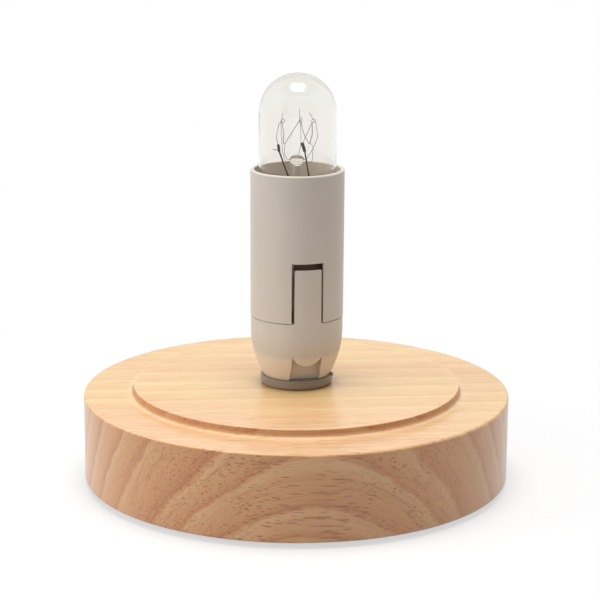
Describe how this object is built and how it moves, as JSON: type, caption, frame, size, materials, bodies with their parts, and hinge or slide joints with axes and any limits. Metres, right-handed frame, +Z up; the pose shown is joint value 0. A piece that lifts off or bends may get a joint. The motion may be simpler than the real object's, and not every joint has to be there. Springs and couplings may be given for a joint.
{
  "type": "table lamp",
  "caption": "Table lamp: a round turned wooden base with a raised centre, a grey-beige plastic screw lampholder standing on it, and a clear tubular bulb that unscrews.",
  "frame": {"origin": "under the middle of the lamp, on the surface that it stands on", "axes": "+Z up along the holder and bulb; +Y towards the back, where the cord inlet is; +X to the right seen from the front"},
  "size_m": [0.124, 0.124, 0.1198],
  "materials": {
    "wood": "clear satin lacquer",
    "foot_rubber": "matte",
    "cover_plastic": "fine matte",
    "screw_steel": "zinc plated",
    "bush_plastic": "matte",
    "nipple_steel": "zinc plated",
    "ring_plastic": "matte",
    "holder_plastic": "fine matte",
    "insert_plastic": "matte",
    "socket_brass": "nickel plated brass",
    "terminal_brass": "bare brass",
    "leaf_bronze": "spring bronze",
    "clear_glass": "clear",
    "stem_glass": "clear",
    "lead_wire": "oxidised nickel",
    "tungsten": "fine coil",
    "molybdenum": "drawn wire",
    "cap_metal": "bright rolled sheet",
    "insulator_glass": "black glass",
    "tip_solder": "dull solder",
    "cement": "matte"
  },
  "bodies": {
    "lamp": {"wood_base": "wood", "rubber_feet": "foot_rubber", "cover_plate": "cover_plastic", "cover_screws": "screw_steel", "inlet_bush": "bush_plastic", "threaded_nipple": "nipple_steel", "flat_washer": "nipple_steel", "lock_washer": "nipple_steel", "hex_nut": "nipple_steel", "seat_ring": "ring_plastic", "holder_dome": "holder_plastic", "holder_shell": "holder_plastic", "terminal_insert": "insert_plastic", "screw_shell": "socket_brass", "shell_terminal": "terminal_brass", "contact_terminal": "terminal_brass", "terminal_screws": "nipple_steel", "insert_rivets": "terminal_brass"},
    "bulb_rise": {"cap_cement": "cement"},
    "bulb": {"glass_envelope": "clear_glass", "glass_stem": "stem_glass", "lead_wires": "lead_wire", "filament": "tungsten", "filament_supports": "molybdenum", "bulb_cap": "cap_metal", "cap_insulator": "insulator_glass", "tip_contact": "tip_solder"},
    "contact_leaf": {"contact_tongue": "leaf_bronze"}
  },
  "joints": [
    {"name": "bulb_lift", "type": "slide", "parent": "lamp", "child": "bulb_rise", "axis": [0, 0, 1], "range_m": [0, 0.012]},
    {"name": "bulb_turn", "type": "hinge", "parent": "bulb_rise", "child": "bulb", "pos_m": [0, 0, 0.06275], "axis": [0, 0, 1], "range_deg": [0, 1530]},
    {"name": "contact_press", "type": "hinge", "parent": "lamp", "child": "contact_leaf", "pos_m": [-0.00387, -0.00102, 0.06125], "axis": [-0.2538, 0.9673, 0], "range_deg": [0, 11.46], "stiffness_Nm_per_rad": 0.05, "springref_deg": -11.46}
  ],
  "couplings": [
    {"joint": "bulb_lift", "follows": "bulb_turn", "m_per_rad": 0.00044914}
  ]
}
